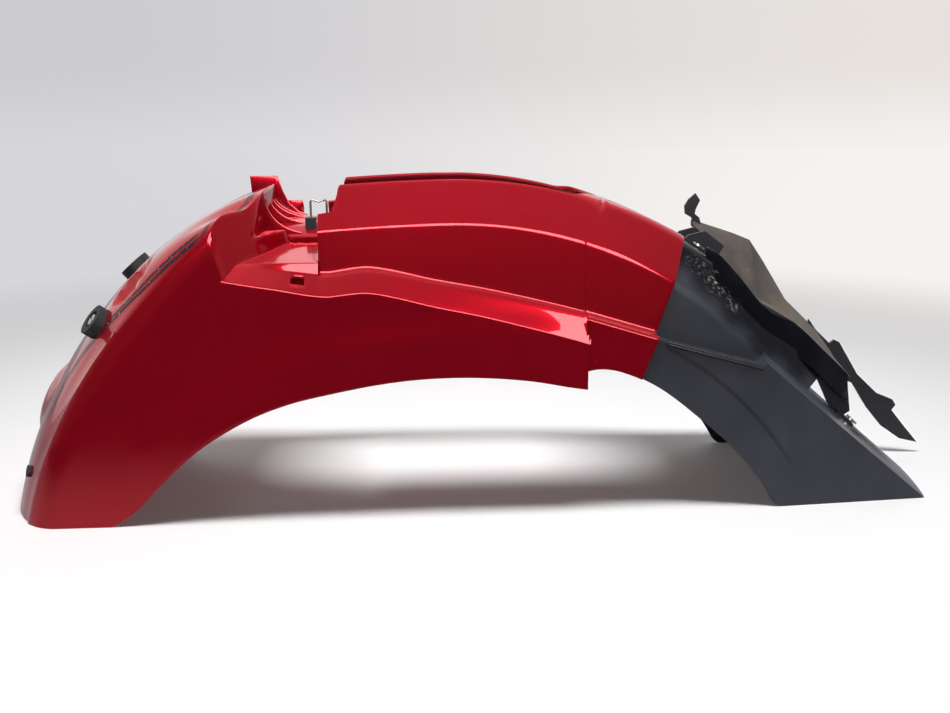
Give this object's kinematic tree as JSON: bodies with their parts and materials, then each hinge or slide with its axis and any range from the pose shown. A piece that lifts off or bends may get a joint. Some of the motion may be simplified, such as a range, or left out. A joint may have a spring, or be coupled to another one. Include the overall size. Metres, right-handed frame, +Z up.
{
  "type": "rear mudguard",
  "caption": "Long arched rear mudguard of a motorcycle: a glossy painted tail and tunnel, a black front moulding lapped under it, and a folded black splash guard.",
  "frame": {"origin": "centre of the part's outline in plan, on the plane that the lower edges stand on", "axes": "+X forward along the motorcycle, +Y to its left, +Z up"},
  "size_m": [0.9503, 0.213, 0.3113],
  "materials": {
    "red_paint": "glossy candy red paint over plastic",
    "black_plastic": "satin black, scuffed and dusty",
    "rubber": "matt black rubber",
    "zinc_steel": "dull zinc plating"
  },
  "bodies": {
    "root": {"clip_holder": "black_plastic", "front_mudguard": "black_plastic", "guard_rivet_front_right": "black_plastic", "guard_rivet_rear_left": "black_plastic", "guard_rivet_rear_right": "black_plastic", "lamp_nut_left": "zinc_steel", "lamp_nut_right": "zinc_steel", "lamp_pad_left": "rubber", "lamp_pad_right": "rubber", "lamp_pad_top": "rubber", "pad_nut_left": "zinc_steel", "pad_nut_right": "zinc_steel", "pad_nut_top": "zinc_steel", "pad_screw_left": "zinc_steel", "pad_screw_right": "zinc_steel", "pad_screw_top": "zinc_steel", "pad_washer_left": "zinc_steel", "pad_washer_right": "zinc_steel", "pad_washer_top": "zinc_steel", "rear_mudguard": "red_paint", "seat_clip": "zinc_steel", "splash_guard": "black_plastic", "tail_button": "rubber"}
  },
  "joints": []
}
